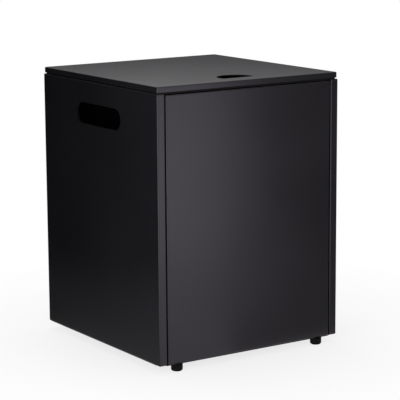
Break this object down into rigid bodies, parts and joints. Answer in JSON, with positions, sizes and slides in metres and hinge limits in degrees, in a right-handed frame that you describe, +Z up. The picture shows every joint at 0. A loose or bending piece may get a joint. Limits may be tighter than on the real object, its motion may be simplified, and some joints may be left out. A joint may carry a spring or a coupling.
{
  "type": "propane tank cover table",
  "caption": "Square sheet-steel side table that hides a gas tank, with a lift-off lid, a hinged door, handle slots and small round feet.",
  "frame": {"origin": "on the floor under the middle of the cabinet", "axes": "+Z up, the door faces -Y, +X to the right of a viewer in front of the door"},
  "size_m": [0.4, 0.4136, 0.52],
  "materials": {
    "black_powder_coat": "satin black powder coat",
    "matt_black_coat": "matt black powder coat",
    "black_rubber": "matt black rubber",
    "zinc_steel": "zinc plated steel",
    "black_oxide_steel": "black oxide",
    "black_plastic": "moulded black plastic",
    "ferrite_magnet": "ground ferrite"
  },
  "bodies": {
    "cabinet": {"left_side_panel": "black_powder_coat", "right_side_panel": "black_powder_coat", "back_panel": "black_powder_coat", "hose_grommet": "black_rubber", "base_plate": "black_powder_coat", "front_base_rail": "black_powder_coat", "rear_base_rail": "black_powder_coat", "tank_ring": "black_powder_coat", "door_header": "matt_black_coat", "lid_collar": "matt_black_coat", "lid_pads": "black_rubber", "base_screws": "black_oxide_steel", "lower_pivot_pin": "black_oxide_steel", "upper_pivot_pin": "black_oxide_steel", "catch_housing": "black_plastic", "catch_magnet": "ferrite_magnet", "catch_screws": "zinc_steel", "front_left_foot": "black_rubber", "front_right_foot": "black_rubber", "rear_left_foot": "black_rubber", "rear_right_foot": "black_rubber"},
    "lid": {"lid_panel": "black_powder_coat", "front_lid_rib": "black_powder_coat", "rear_lid_rib": "black_powder_coat"},
    "door": {"door_panel": "black_powder_coat", "door_rib": "black_powder_coat", "lower_door_bushing": "black_plastic", "upper_door_bushing": "black_plastic", "strike_plate": "zinc_steel"}
  },
  "joints": [
    {"name": "lid_lift", "type": "slide", "parent": "cabinet", "child": "lid", "axis": [0, 0, 1], "range_m": [0, 0.15]},
    {"name": "door_hinge", "type": "hinge", "parent": "cabinet", "child": "door", "pos_m": [0.1675, -0.196, 0.26], "axis": [0, 0, 1], "range_deg": [0, 120]}
  ]
}
